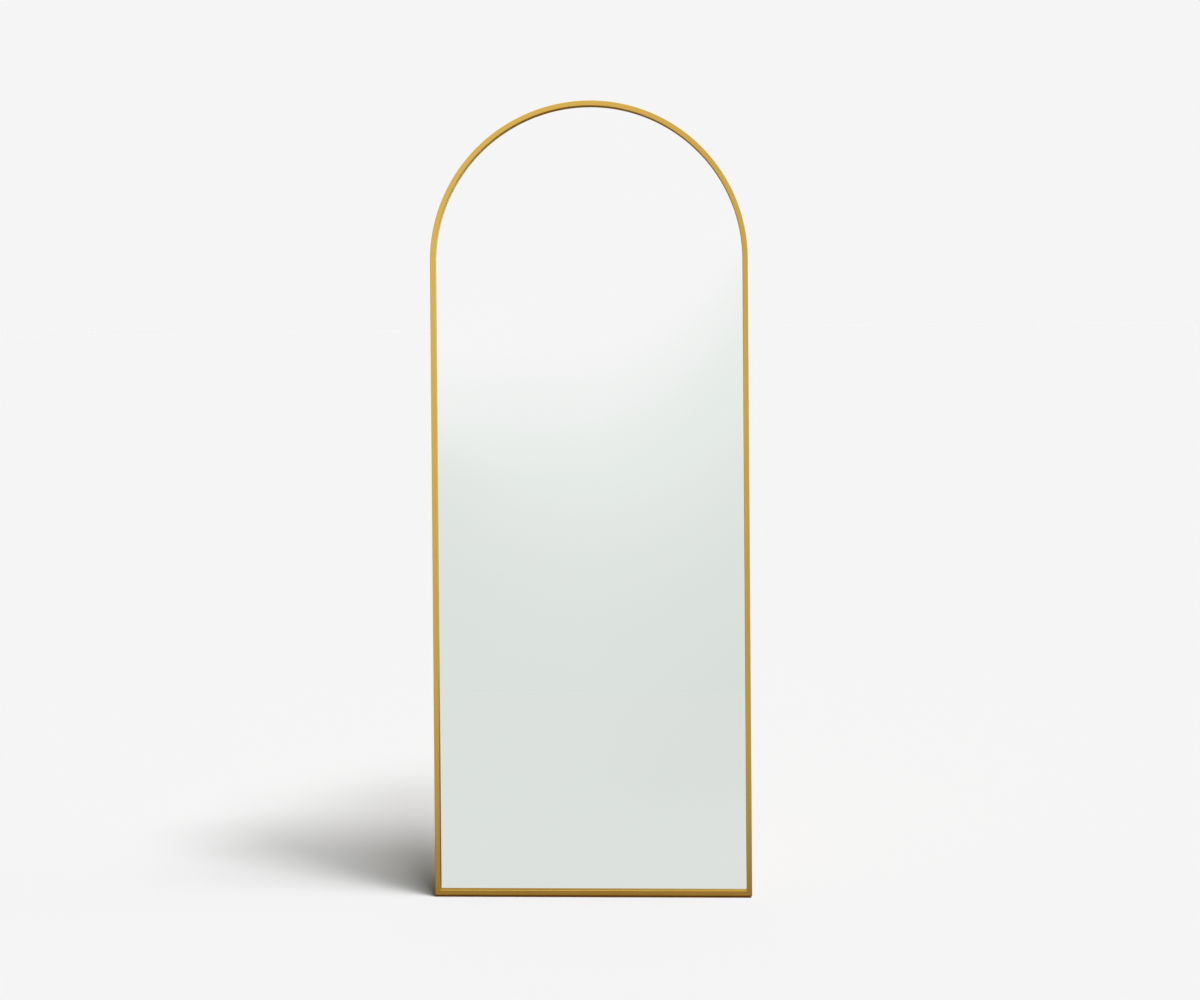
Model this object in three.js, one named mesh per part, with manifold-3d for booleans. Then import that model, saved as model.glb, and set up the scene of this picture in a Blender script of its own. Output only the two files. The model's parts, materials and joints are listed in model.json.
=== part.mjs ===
// Arched floor mirror that leans on a wall: a thin brass-toned metal frame round silvered glass,
// with a backing board, cross battens, edge clips, hanger rings, wall bumpers and wedge feet.
// Millimetres, +Z up, front towards -Y. "Depth" counts backwards from the front of the frame.
import * as THREE from "three";
import { mergeVertices } from "three/addons/utils/BufferGeometryUtils.js";
import Module from "manifold-3d";

const wasm = await Module();
wasm.setup();

// ---- Driving dimensions ----
const frameWidth = 762; // outside, across the uprights
const frameHeight = 1905; // outside, measured along the frame from its bottom edge to the top of the arch
const frameDepth = 30; // front face to rear edge
const faceWidth = 12.7; // width of the metal seen from the front
const leanDegrees = 6; // how far the mirror leans back from upright
const fitGap = 0.3; // clearance between pieces that touch

const boxDepth = 11; // depth of the hollow bar at the front of the frame profile
const outerWall = 1.8; // side wall behind the bar
const barWall = 1.5; // walls of the hollow bar
const clipLipReach = 5; // how far the rear lip stands in from the outside of the frame
const clipLipThickness = 1.7;
const edgeRadius = 1.4; // rounding of the front edges
const archSteps = 80;
const panelSteps = 56; // arch of the board and cushion, which lie out of sight

const glassThickness = 5;
const glassBevel = 0.8;
const cushionThickness = 3;
const boardThickness = 6;
const panelInset = 6.3; // outside of the frame to the edge of the glass and board
const cushionInset = 9;

const keyArm = 45; // length of each arm of a corner key
const keyScrewAt = 31; // from the outside corner to each set screw
const keyTaper = 1.5; // lead-in at the tips of the key's arms
const keyScrewRadius = 2;
const keyScrewLength = 6;
const keyScrewSocket = 2; // depth of its socket
const keyHoleSlack = 0.35;
const accessSlack = 0.5; // the holes that a key's screws are turned through are this much wider than them

const blockLength = 60; // rubber blocks under the glass
const blockX = 230;

const battenLength = 640;
const battenHeight = 64;
const battenThickness = 12;
const battenCorner = 3;
const battenBevel = 1.2;
const upperBattenZ = 1400;
const lowerBattenZ = 430;
const battenScrewX = 210;

const clipWidth = 18; // flat clips that hold the board in the frame
const clipLength = 32;
const clipThickness = 1.8;
const clipTongueWidth = 13;
const clipShoulderAt = 8; // from the clip's outer end to where its tongue widens
const clipShoulderLength = 3;
const clipScrewAt = 22; // from the clip's outer end to its screw
const bottomClipX = 190;
const sideClipZ = [210, 680, 1150];
const archClipDegrees = [12, 54, 126, 168];

const screwRadius = 1.75;
const screwHeadRadius = 3.5;
const screwHeadHeight = 2.2;
const screwHoleSlack = 0.45;
const clipScrewLength = 7.7;
const battenScrewLength = 17;
const hangerScrewLength = 14;
const hangerScrewRadius = 2;
const hangerScrewHeadRadius = 3.8;

const hangerX = 262; // from the middle of the mirror to each hanger
const strapWidth = 18;
const strapTop = 52; // top of the strap above the ring's axis
const strapSheet = 1.5; // the strap is this sheet, folded double round the ring
const strapScrews = [14, 43]; // heights of the strap's screws above the ring's axis
const ringWireRadius = 2.2;
const ringEyeRadius = 2.6; // inside of the fold that the ring turns in
const ringHalfWidth = 16;
const ringCorner = 4;
const ringArm = 18; // straight part of the ring below its axis
const ringAxisBelowBattenMiddle = 25;
const ringJointGap = 0.5; // butt joint of the bent wire, hidden in the strap
const ringSteps = 44;

const bumperX = 90;
const bumperInset = 26; // from the outside of the arch to the middles of the bumpers
const bumperHeight = 11;
const bumperRadius = 11;
const bumperRim = 1.5;
const bumperTopRadius = 7.5;

const footLength = 50; // wedge feet under the bottom rail
const footDepth = 14;
const footRearThickness = 1.4;
const footInset = 1; // from the rear edge of the frame to the wedge
const footX = 300;

const overcut = 1; // how far a cutting shape passes beyond what it cuts

// ---- Sizes worked out from them ----
const lean = THREE.MathUtils.degToRad(leanDegrees);
const halfWidth = frameWidth / 2;
const springZ = frameHeight - halfWidth; // where the uprights meet the half-round arch
const glassFront = boxDepth + fitGap;
const cushionFront = glassFront + glassThickness + fitGap;
const boardFront = cushionFront + cushionThickness + fitGap;
const boardRear = boardFront + boardThickness;
const clipFront = boardRear + fitGap;
const clipRear = clipFront + clipThickness;
const battenFront = boardRear + fitGap;
const battenRear = battenFront + battenThickness;
const eyeOuterRadius = ringEyeRadius + strapSheet;
const strapThickness = 2 * strapSheet;

// ---- Finishes ----
const finish = {
  brass: { color: 0xc79a4b, roughness: 0.32, metalness: 1 },
  mirror: { color: 0xdfe6e2, roughness: 0.03, metalness: 1 },
  steel: { color: 0xb9bcbf, roughness: 0.4, metalness: 1 },
  castZinc: { color: 0x9a9da0, roughness: 0.55, metalness: 1 },
  fibreboard: { color: 0x8c6a48, roughness: 0.85, metalness: 0 },
  pine: { color: 0xcfa873, roughness: 0.7, metalness: 0 },
  foam: { color: 0xe8e8e4, roughness: 0.95, metalness: 0 },
  rubber: { color: 0x26262a, roughness: 0.8, metalness: 0 },
};

const mirror = new THREE.Group();
mirror.rotation.x = -lean;

function addMesh(name, geometry, look, parent = mirror) {
  const mesh = new THREE.Mesh(geometry, new THREE.MeshStandardMaterial(look));
  mesh.name = name;
  parent.add(mesh);
  return mesh;
}

// ---- Joining and cutting ----
function toSolid(geometry) {
  const bare = geometry.clone();
  bare.deleteAttribute("normal");
  bare.deleteAttribute("uv");
  const merged = mergeVertices(bare, 1e-4);
  const corners = [];
  for (let i = 0; i < merged.index.count; i += 3) {
    const [a, b, c] = merged.index.array.slice(i, i + 3);
    if (a !== b && b !== c && c !== a) corners.push(a, b, c); // slivers closed by the merge are dropped
  }
  return new wasm.Manifold(
    new wasm.Mesh({
      numProp: 3,
      vertProperties: new Float32Array(merged.attributes.position.array),
      triVerts: new Uint32Array(corners),
    }),
  );
}

function toGeometry(solid) {
  const mesh = solid.getMesh();
  const geometry = new THREE.BufferGeometry();
  geometry.setAttribute("position", new THREE.BufferAttribute(new Float32Array(mesh.vertProperties), 3));
  geometry.setIndex(new THREE.BufferAttribute(new Uint32Array(mesh.triVerts), 1));
  geometry.computeVertexNormals();
  return geometry;
}

// ---- Plates: an outline seen from the front, given its thickness from one depth backwards ----
function plate(outline, front, thickness, options = {}) {
  const { bevel = 0, curveSegments = 12 } = options;
  const geometry = new THREE.ExtrudeGeometry(outline, {
    depth: thickness - 2 * bevel,
    bevelEnabled: bevel > 0,
    bevelThickness: bevel,
    bevelSize: bevel,
    bevelOffset: -bevel,
    bevelSegments: 1,
    curveSegments,
  });
  geometry.rotateX(Math.PI / 2);
  geometry.translate(0, front + thickness - bevel, 0);
  return geometry;
}

// A side view (depth, height) given a width across the mirror, centred on x = 0.
function crosswise(sideView, width, curveSegments = 8) {
  const geometry = new THREE.ExtrudeGeometry(sideView, { depth: width, bevelEnabled: false, curveSegments });
  const depthAxis = new THREE.Vector3(0, 1, 0);
  const heightAxis = new THREE.Vector3(0, 0, 1);
  const widthAxis = new THREE.Vector3(1, 0, 0);
  geometry.applyMatrix4(new THREE.Matrix4().makeBasis(depthAxis, heightAxis, widthAxis));
  geometry.translate(-width / 2, 0, 0);
  return geometry;
}

function archedOutline(inset, steps) {
  const side = halfWidth - inset;
  const outline = new THREE.Shape();
  outline.moveTo(-side, inset);
  outline.lineTo(side, inset);
  for (let i = 0; i <= steps; i++) {
    const angle = (Math.PI * i) / steps;
    outline.lineTo(side * Math.cos(angle), springZ + side * Math.sin(angle));
  }
  outline.closePath();
  return outline;
}

function roundedRectangle(width, height, radius) {
  const x = width / 2;
  const y = height / 2;
  const outline = new THREE.Shape();
  outline.moveTo(-x + radius, -y);
  outline.lineTo(x - radius, -y);
  outline.absarc(x - radius, -y + radius, radius, -Math.PI / 2, 0, false);
  outline.absarc(x - radius, y - radius, radius, 0, Math.PI / 2, false);
  outline.absarc(-x + radius, y - radius, radius, Math.PI / 2, Math.PI, false);
  outline.absarc(-x + radius, -y + radius, radius, Math.PI, 1.5 * Math.PI, false);
  return outline;
}

function drill(outline, x, y, radius) {
  const hole = new THREE.Path();
  hole.absarc(x, y, radius, 0, 2 * Math.PI, true);
  outline.holes.push(hole);
}

// ---- Frame: one bent profile for the uprights and arch, and a mitred rail below ----
function frameProfile() {
  const lip = faceWidth;
  const rearLipFront = frameDepth - clipLipThickness;
  const section = new THREE.Shape();
  section.moveTo(-edgeRadius, 0);
  section.lineTo(-frameDepth, 0);
  section.lineTo(-frameDepth, clipLipReach);
  section.lineTo(-rearLipFront, clipLipReach);
  section.lineTo(-rearLipFront, outerWall);
  section.lineTo(-boxDepth, outerWall);
  section.lineTo(-boxDepth, lip);
  section.lineTo(-edgeRadius, lip);
  section.absarc(-edgeRadius, lip - edgeRadius, edgeRadius, Math.PI / 2, 0, true);
  section.lineTo(0, edgeRadius);
  section.absarc(-edgeRadius, edgeRadius, edgeRadius, 0, -Math.PI / 2, true);
  const hollow = new THREE.Path();
  hollow.moveTo(-barWall, barWall);
  hollow.lineTo(-barWall, lip - barWall);
  hollow.lineTo(-boxDepth + barWall, lip - barWall);
  hollow.lineTo(-boxDepth + barWall, barWall);
  hollow.closePath();
  section.holes.push(hollow);
  return section;
}

// The outside line of the frame: up the left side, round the arch and down the right side.
// Each upright is one step and the arch has the rest.
class FrameLine extends THREE.Curve {
  station(u) {
    const step = u * (archSteps + 2);
    const turn = THREE.MathUtils.clamp((step - 1) / archSteps, 0, 1);
    const angle = Math.PI * (1 - turn);
    const drop = step < 1 ? 1 - step : Math.max(step - archSteps - 1, 0);
    return { angle, drop };
  }

  getPointAt(u, target = new THREE.Vector3()) {
    const { angle, drop } = this.station(u);
    const z = springZ + halfWidth * Math.sin(angle) - drop * springZ;
    return target.set(halfWidth * Math.cos(angle), 0, z);
  }

  getTangentAt(u, target = new THREE.Vector3()) {
    const { angle } = this.station(u);
    return target.set(Math.sin(angle), 0, -Math.cos(angle));
  }
}

// Everything between the two mitre cuts at the bottom corners, with each cut moved out by "shift".
function betweenMitres(shift) {
  const below = -faceWidth;
  const above = 3 * faceWidth;
  const outline = new THREE.Shape();
  outline.moveTo(-(halfWidth - below + shift), below);
  outline.lineTo(halfWidth - below + shift, below);
  outline.lineTo(halfWidth - above + shift, above);
  outline.lineTo(-(halfWidth - above + shift), above);
  outline.closePath();
  return toSolid(plate(outline, -overcut, frameDepth + 2 * overcut));
}

// A round plug that cuts a hole from front to back.
function holeCutter(x, z, radius, front, thickness) {
  const outline = new THREE.Shape();
  outline.absarc(x, z, radius, 0, 2 * Math.PI, false);
  return toSolid(plate(outline, front - overcut, thickness + 2 * overcut, { curveSegments: 6 }));
}

// Holes through the back of the hollow bar, where a key's set screws are turned from behind.
function accessHole(x, z) {
  return holeCutter(x, z, keyScrewRadius + accessSlack, boxDepth - barWall, barWall);
}

const mitreShift = (fitGap / 2) * Math.SQRT2;
const barMiddle = faceWidth / 2;

function archFrame() {
  const swept = new THREE.ExtrudeGeometry(frameProfile(), {
    steps: archSteps + 2,
    extrudePath: new FrameLine(),
    curveSegments: 1,
  });
  return toGeometry(
    toSolid(swept)
      .subtract(betweenMitres(mitreShift))
      .subtract(accessHole(-halfWidth + barMiddle, keyScrewAt))
      .subtract(accessHole(halfWidth - barMiddle, keyScrewAt)),
  );
}

function bottomRail() {
  const rail = new THREE.ExtrudeGeometry(frameProfile(), {
    depth: frameWidth + 2 * overcut,
    bevelEnabled: false,
    curveSegments: 1,
  });
  const forwards = new THREE.Vector3(0, -1, 0);
  const upwards = new THREE.Vector3(0, 0, 1);
  const leftwards = new THREE.Vector3(-1, 0, 0);
  rail.applyMatrix4(new THREE.Matrix4().makeBasis(forwards, upwards, leftwards));
  rail.translate(halfWidth + overcut, 0, 0);
  return toGeometry(
    toSolid(rail)
      .intersect(betweenMitres(-mitreShift))
      .subtract(accessHole(-halfWidth + keyScrewAt, barMiddle))
      .subtract(accessHole(halfWidth - keyScrewAt, barMiddle)),
  );
}

// An L-shaped key fills the hollow bar round a bottom corner; side is -1 on the left, 1 on the right.
function cornerKey(side) {
  const near = barWall + fitGap;
  const far = faceWidth - barWall - fitGap;
  const tip = near + keyArm;
  const corners = [
    [near, near],
    [tip - keyTaper, near],
    [tip, near + keyTaper],
    [tip, far - keyTaper],
    [tip - keyTaper, far],
    [far, far],
    [far, tip - keyTaper],
    [far - keyTaper, tip],
    [near + keyTaper, tip],
    [near, tip - keyTaper],
  ];
  if (side > 0) corners.reverse(); // keeps the outline anticlockwise
  const outline = new THREE.Shape(corners.map(([x, z]) => new THREE.Vector2(side * (halfWidth - x), z)));
  const hole = keyScrewRadius + keyHoleSlack;
  drill(outline, side * (halfWidth - keyScrewAt), barMiddle, hole);
  drill(outline, side * (halfWidth - barMiddle), keyScrewAt, hole);
  return plate(outline, barWall + fitGap, boxDepth - 2 * barWall - 2 * fitGap, { curveSegments: 5 });
}

function setScrew() {
  const half = keyScrewLength / 2;
  const point = keyScrewRadius / 4;
  const rim = keyScrewRadius / 7;
  const socket = keyScrewRadius / 2;
  const outline = [
    [0, -half],
    [keyScrewRadius - point, -half],
    [keyScrewRadius, -half + point],
    [keyScrewRadius, half - rim],
    [keyScrewRadius - rim, half],
    [socket, half],
    [socket, half - keyScrewSocket],
    [0, half - keyScrewSocket],
  ];
  return new THREE.LatheGeometry(outline.map(([r, y]) => new THREE.Vector2(r, y)), 8);
}

// ---- Fasteners: a pan-head screw with its head's underside at y = 0 and its tip towards the front ----
function panScrew(length, radius = screwRadius, headRadius = screwHeadRadius) {
  const outline = [
    [0, -length],
    [radius, -length + 2 * radius],
    [radius, 0],
    [headRadius, 0],
    [headRadius, 0.45 * screwHeadHeight],
    [0.82 * headRadius, 0.85 * screwHeadHeight],
    [0.4 * headRadius, screwHeadHeight],
    [0, screwHeadHeight],
  ];
  return new THREE.LatheGeometry(outline.map(([r, y]) => new THREE.Vector2(r, y)), 10);
}

// ---- Edge clips: places round the frame, each with the direction that points out of the mirror ----
function clipPlaces() {
  const places = [];
  for (const x of [-bottomClipX, bottomClipX]) places.push({ x, z: 0, out: [0, -1] });
  for (const z of sideClipZ) {
    for (const side of [-1, 1]) places.push({ x: side * halfWidth, z, out: [side, 0] });
  }
  for (const degrees of archClipDegrees) {
    const angle = THREE.MathUtils.degToRad(degrees);
    const out = [Math.cos(angle), Math.sin(angle)];
    places.push({ x: halfWidth * out[0], z: springZ + halfWidth * out[1], out });
  }
  return places;
}

// The clip's outer end is at z = 0 and the rest of it lies below, on the board.
function edgeClip() {
  const half = clipWidth / 2;
  const tongue = clipTongueWidth / 2;
  const shoulder = clipShoulderAt + clipShoulderLength;
  const outline = new THREE.Shape();
  outline.moveTo(-tongue, 0);
  outline.lineTo(-tongue, -clipShoulderAt);
  outline.lineTo(-half, -shoulder);
  outline.lineTo(-half, -clipLength + half);
  outline.absarc(0, -clipLength + half, half, Math.PI, 2 * Math.PI, false);
  outline.lineTo(half, -shoulder);
  outline.lineTo(tongue, -clipShoulderAt);
  outline.lineTo(tongue, 0);
  outline.closePath();
  drill(outline, 0, -clipScrewAt, screwRadius + screwHoleSlack);
  return plate(outline, clipFront, clipThickness, { curveSegments: 5 });
}

const clipEndInset = outerWall + 2 * fitGap;

function fromOutside(place, distance) {
  return [place.x - distance * place.out[0], place.z - distance * place.out[1]];
}

// ---- Board and battens ----
const ringAxisZ = upperBattenZ - ringAxisBelowBattenMiddle;
const battenScrewsX = [-battenScrewX, 0, battenScrewX];

function backBoard() {
  const outline = archedOutline(panelInset, panelSteps);
  for (const place of clipPlaces()) {
    const [x, z] = fromOutside(place, clipEndInset + clipScrewAt);
    drill(outline, x, z, screwRadius + screwHoleSlack);
  }
  for (const z of [upperBattenZ, lowerBattenZ]) {
    for (const x of battenScrewsX) drill(outline, x, z, screwRadius + screwHoleSlack);
  }
  return plate(outline, boardFront, boardThickness, { curveSegments: 6 });
}

function batten(carriesHangers) {
  const outline = roundedRectangle(battenLength, battenHeight, battenCorner);
  const holes = battenScrewsX.map((x) => [x, 0, screwRadius + screwHoleSlack]);
  if (carriesHangers) {
    for (const side of [-1, 1]) {
      for (const height of strapScrews) {
        holes.push([side * hangerX, height - ringAxisBelowBattenMiddle, hangerScrewRadius + screwHoleSlack]);
      }
    }
  }
  let wood = toSolid(plate(outline, battenFront, battenThickness, { bevel: battenBevel, curveSegments: 3 }));
  for (const [x, z, radius] of holes) {
    wood = wood.subtract(holeCutter(x, z, radius, battenFront, battenThickness));
  }
  return toGeometry(wood);
}

// ---- Hangers: a folded strap round the straight bar of a D-shaped ring ----
// Their own origin is on the ring's axis; the strap's flat side faces the batten.
function hangerStrap() {
  const r = eyeOuterRadius;
  const meet = Math.acos((strapThickness - r) / r); // where the outer sheet leaves the fold
  const side = new THREE.Shape();
  side.moveTo(-r, strapTop);
  side.lineTo(-r, 0);
  side.absarc(0, 0, r, Math.PI, 2 * Math.PI + meet, false);
  side.lineTo(strapThickness - r, strapTop);
  side.closePath();
  drill(side, 0, 0, ringEyeRadius);
  const half = strapWidth / 2;
  const front = new THREE.Shape();
  front.moveTo(-half, -2 * r);
  front.lineTo(half, -2 * r);
  front.lineTo(half, strapTop - half);
  front.absarc(0, strapTop - half, half, 0, Math.PI, false);
  front.closePath();
  for (const z of strapScrews) drill(front, 0, z, hangerScrewRadius + screwHoleSlack);
  const folded = toSolid(crosswise(side, strapWidth + 2 * overcut, 8));
  const deep = r + overcut;
  return toGeometry(folded.intersect(toSolid(plate(front, -deep, 2 * deep, { curveSegments: 6 }))));
}

// A flat path (x, z) followed in space.
class FlatWire extends THREE.Curve {
  constructor(path) {
    super();
    this.path = path;
  }

  getPoint(t, target = new THREE.Vector3()) {
    const point = this.path.getPointAt(t);
    return target.set(point.x, 0, point.y);
  }
}

function hangerRing() {
  const w = ringHalfWidth;
  const c = ringCorner;
  const wire = new THREE.Path();
  wire.moveTo(ringJointGap / 2, 0);
  wire.lineTo(w - c, 0);
  wire.absarc(w - c, -c, c, Math.PI / 2, 0, true);
  wire.lineTo(w, -ringArm);
  wire.absarc(0, -ringArm, w, 0, -Math.PI, true);
  wire.lineTo(-w, -c);
  wire.absarc(-w + c, -c, c, Math.PI, Math.PI / 2, true);
  wire.lineTo(-ringJointGap / 2, 0);
  const section = new THREE.Shape();
  section.absarc(0, 0, ringWireRadius, 0, 2 * Math.PI, false);
  return new THREE.ExtrudeGeometry(section, {
    steps: ringSteps,
    extrudePath: new FlatWire(wire),
    curveSegments: 4,
  });
}

// ---- Rubber pieces ----
function wallBumper() {
  const outline = [
    [0, 0],
    [bumperRadius, 0],
    [bumperRadius, bumperRim],
    [bumperTopRadius + bumperRim, bumperHeight - bumperRim],
    [bumperTopRadius, bumperHeight],
    [0, bumperHeight],
  ];
  return new THREE.LatheGeometry(outline.map(([x, y]) => new THREE.Vector2(x, y)), 20);
}

// The wedge is thicker towards the front, so that it stands flat on the floor while the mirror leans.
function footPad() {
  const rear = frameDepth - footInset;
  const front = rear - footDepth;
  const top = -fitGap;
  const side = new THREE.Shape();
  side.moveTo(front, top);
  side.lineTo(front, top - footRearThickness - footDepth * Math.tan(lean));
  side.lineTo(rear, top - footRearThickness);
  side.lineTo(rear, top);
  side.closePath();
  return crosswise(side, footLength);
}

function settingBlock() {
  const low = outerWall + fitGap;
  const high = panelInset - fitGap;
  const depth = boardRear - glassFront - 2 * fitGap;
  const geometry = new THREE.BoxGeometry(blockLength, depth, high - low);
  geometry.translate(0, glassFront + fitGap + depth / 2, (low + high) / 2);
  return geometry;
}

// ---- Assembly ----
const sides = [
  ["left", -1],
  ["right", 1],
];

addMesh("arch_frame", archFrame(), finish.brass);
addMesh("bottom_rail", bottomRail(), finish.brass);

for (const [label, side] of sides) {
  addMesh(`corner_key_${label}`, cornerKey(side), finish.castZinc);
  const middle = boxDepth / 2;
  const upright = addMesh(`key_screw_${label}_upright`, setScrew(), finish.steel);
  upright.position.set(side * (halfWidth - barMiddle), middle, keyScrewAt);
  const rail = addMesh(`key_screw_${label}_rail`, setScrew(), finish.steel);
  rail.position.set(side * (halfWidth - keyScrewAt), middle, barMiddle);
}

const pane = archedOutline(panelInset, archSteps);
addMesh("mirror_glass", plate(pane, glassFront, glassThickness, { bevel: glassBevel }), finish.mirror);
const padding = archedOutline(cushionInset, panelSteps);
addMesh("cushion_sheet", plate(padding, cushionFront, cushionThickness), finish.foam);
addMesh("back_board", backBoard(), finish.fibreboard);

for (const [label, side] of sides) {
  addMesh(`setting_block_${label}`, settingBlock(), finish.rubber).position.x = side * blockX;
}

clipPlaces().forEach((place, index) => {
  const turn = Math.atan2(place.out[0], place.out[1]);
  const clip = addMesh(`edge_clip_${index + 1}`, edgeClip(), finish.steel);
  const [clipX, clipZ] = fromOutside(place, clipEndInset);
  clip.position.set(clipX, 0, clipZ);
  clip.rotation.y = turn;
  const screw = addMesh(`edge_clip_screw_${index + 1}`, panScrew(clipScrewLength), finish.steel);
  const [screwX, screwZ] = fromOutside(place, clipEndInset + clipScrewAt);
  screw.position.set(screwX, clipRear + fitGap, screwZ);
});

for (const [label, z, carriesHangers] of [
  ["upper", upperBattenZ, true],
  ["lower", lowerBattenZ, false],
]) {
  addMesh(`${label}_batten`, batten(carriesHangers), finish.pine).position.z = z;
  battenScrewsX.forEach((x, index) => {
    const name = `${label}_batten_screw_${index + 1}`;
    addMesh(name, panScrew(battenScrewLength), finish.steel).position.set(x, battenRear + fitGap, z);
  });
}

for (const [label, side] of sides) {
  const hanger = new THREE.Group();
  hanger.position.set(side * hangerX, battenRear + fitGap + eyeOuterRadius, ringAxisZ);
  mirror.add(hanger);
  addMesh(`hanger_strap_${label}`, hangerStrap(), finish.steel, hanger);
  addMesh(`hanger_ring_${label}`, hangerRing(), finish.steel, hanger).rotation.x = lean; // it hangs plumb
  strapScrews.forEach((height, index) => {
    const name = `hanger_screw_${label}_${index === 0 ? "lower" : "upper"}`;
    const shape = panScrew(hangerScrewLength, hangerScrewRadius, hangerScrewHeadRadius);
    const screw = addMesh(name, shape, finish.steel, hanger);
    screw.position.set(0, strapThickness - eyeOuterRadius + fitGap, height);
  });
}

for (const [label, side] of sides) {
  const reach = halfWidth - bumperInset;
  const bumperZ = springZ + Math.sqrt(reach * reach - bumperX * bumperX);
  const bumper = addMesh(`wall_bumper_${label}`, wallBumper(), finish.rubber);
  bumper.position.set(side * bumperX, boardRear + fitGap, bumperZ);
  addMesh(`foot_pad_${label}`, footPad(), finish.rubber).position.x = side * footX;
}

// The origin is on the floor, under the middle of the leaning mirror.
const whole = new THREE.Group();
whole.add(mirror);
whole.updateMatrixWorld(true);
const extent = new THREE.Box3().setFromObject(mirror, true);
mirror.position.y = -(extent.min.y + extent.max.y) / 2;
mirror.position.z = -extent.min.z;

export default whole;
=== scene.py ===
# Leaning floor mirror: the visible pieces, their finishes, the light and the camera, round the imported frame.
import json
from math import acos, atan2, cos, degrees, pi, radians, sin, sqrt, tan, tau

import bmesh
import bpy
from mathutils import Matrix, Vector


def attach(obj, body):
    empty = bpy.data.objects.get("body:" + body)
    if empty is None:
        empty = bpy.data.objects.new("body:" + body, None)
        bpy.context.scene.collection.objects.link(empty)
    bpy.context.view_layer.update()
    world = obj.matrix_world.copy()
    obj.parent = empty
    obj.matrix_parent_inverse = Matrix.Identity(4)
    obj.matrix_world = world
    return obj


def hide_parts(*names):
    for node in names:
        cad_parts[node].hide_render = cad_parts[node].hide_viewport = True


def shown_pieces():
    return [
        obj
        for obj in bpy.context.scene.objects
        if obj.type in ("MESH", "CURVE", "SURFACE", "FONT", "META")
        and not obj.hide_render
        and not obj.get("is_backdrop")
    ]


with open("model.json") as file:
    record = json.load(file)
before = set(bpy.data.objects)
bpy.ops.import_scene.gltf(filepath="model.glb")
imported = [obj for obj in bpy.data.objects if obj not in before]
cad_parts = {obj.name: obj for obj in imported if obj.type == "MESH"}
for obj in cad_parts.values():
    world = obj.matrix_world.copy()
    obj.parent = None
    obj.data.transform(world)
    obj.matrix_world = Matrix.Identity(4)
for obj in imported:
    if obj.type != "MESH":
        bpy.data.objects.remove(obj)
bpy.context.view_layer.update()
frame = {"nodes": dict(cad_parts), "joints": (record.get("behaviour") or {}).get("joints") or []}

scene = bpy.context.scene
print("frame loaded:", len(frame["nodes"]), "nodes")


class Wire:
    # a socket that can stand in an expression; each operator adds one Math node
    def __init__(self, sheet, socket):
        self.sheet, self.socket = sheet, socket

    def maths(self, operation, *others):
        return self.sheet.maths(operation, self, *others)

    def __add__(self, other):
        return self.maths("ADD", other)

    def __radd__(self, other):
        return self.sheet.maths("ADD", other, self)

    def __sub__(self, other):
        return self.maths("SUBTRACT", other)

    def __rsub__(self, other):
        return self.sheet.maths("SUBTRACT", other, self)

    def __mul__(self, other):
        return self.maths("MULTIPLY", other)

    def __rmul__(self, other):
        return self.sheet.maths("MULTIPLY", other, self)

    def clamped(self):
        settings = {"operation": "ADD", "use_clamp": True}
        return self.sheet.node("ShaderNodeMath", settings, {0: self, 1: 0.0})[0]


class Outlets:
    # the outputs of one node, by name or by number
    def __init__(self, sheet, made):
        self.sheet, self.made = sheet, made

    def __getitem__(self, key):
        return Wire(self.sheet, self.made.outputs[key])


class NodeSheet:
    # one node tree, for a material, the world or a shape
    def __init__(self, tree):
        self.tree = tree

    def node(self, kind, settings=None, sockets=None):
        made = self.tree.nodes.new(kind)
        for name, value in (settings or {}).items():
            if name == "stops":
                self.setStops(made.color_ramp, value)
            else:
                setattr(made, name, value)
        for key, value in (sockets or {}).items():
            if isinstance(value, Wire):
                self.tree.links.new(value.socket, made.inputs[key])
            else:
                made.inputs[key].default_value = value
        return Outlets(self, made)

    def maths(self, operation, *values):
        return self.node("ShaderNodeMath", {"operation": operation}, dict(enumerate(values)))[0]

    def setStops(self, ramp, stops):
        while len(ramp.elements) < len(stops):
            ramp.elements.new(1.0)
        for element, (position, colour) in zip(ramp.elements, stops):
            element.position = position
            element.color = colour if hasattr(colour, "__len__") else (colour, colour, colour, 1)

    def ramp(self, value, stops):
        return self.node("ShaderNodeValToRGB", {"stops": stops}, {0: value})["Color"]

    def mix(self, factor, first, second, mode="MIX"):
        settings = {"data_type": "RGBA", "blend_type": mode}
        return self.node("ShaderNodeMix", settings, {0: factor, 6: first, 7: second})[2]

    def vector(self, operation, *values):
        return self.node("ShaderNodeVectorMath", {"operation": operation}, dict(enumerate(values)))[0]

    def noise(self, where, scale, detail=2.0, roughness=0.5, distortion=0.0):
        sockets = {"Vector": where, "Scale": scale, "Detail": detail, "Roughness": roughness}
        sockets["Distortion"] = distortion
        return self.node("ShaderNodeTexNoise", None, sockets)[0]

    def spread(self, value, fromLow, fromHigh, toLow=0.0, toHigh=1.0):
        sockets = {0: value, 1: fromLow, 2: fromHigh, 3: toLow, 4: toHigh}
        return self.node("ShaderNodeMapRange", {"clamp": True}, sockets)[0]

    def objectPlace(self):
        return self.node("ShaderNodeTexCoord")["Object"]

    def axes(self, where):
        return self.node("ShaderNodeSeparateXYZ", None, {0: where})

    def attribute(self, name):
        return self.node("ShaderNodeAttribute", {"attribute_name": name})

    def joined(self, x, y, z):
        return self.node("ShaderNodeCombineXYZ", None, {0: x, 1: y, 2: z})[0]

    def bump(self, height, strength, distance):
        sockets = {"Strength": strength, "Distance": distance, "Height": height}
        return self.node("ShaderNodeBump", None, sockets)["Normal"]


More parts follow.
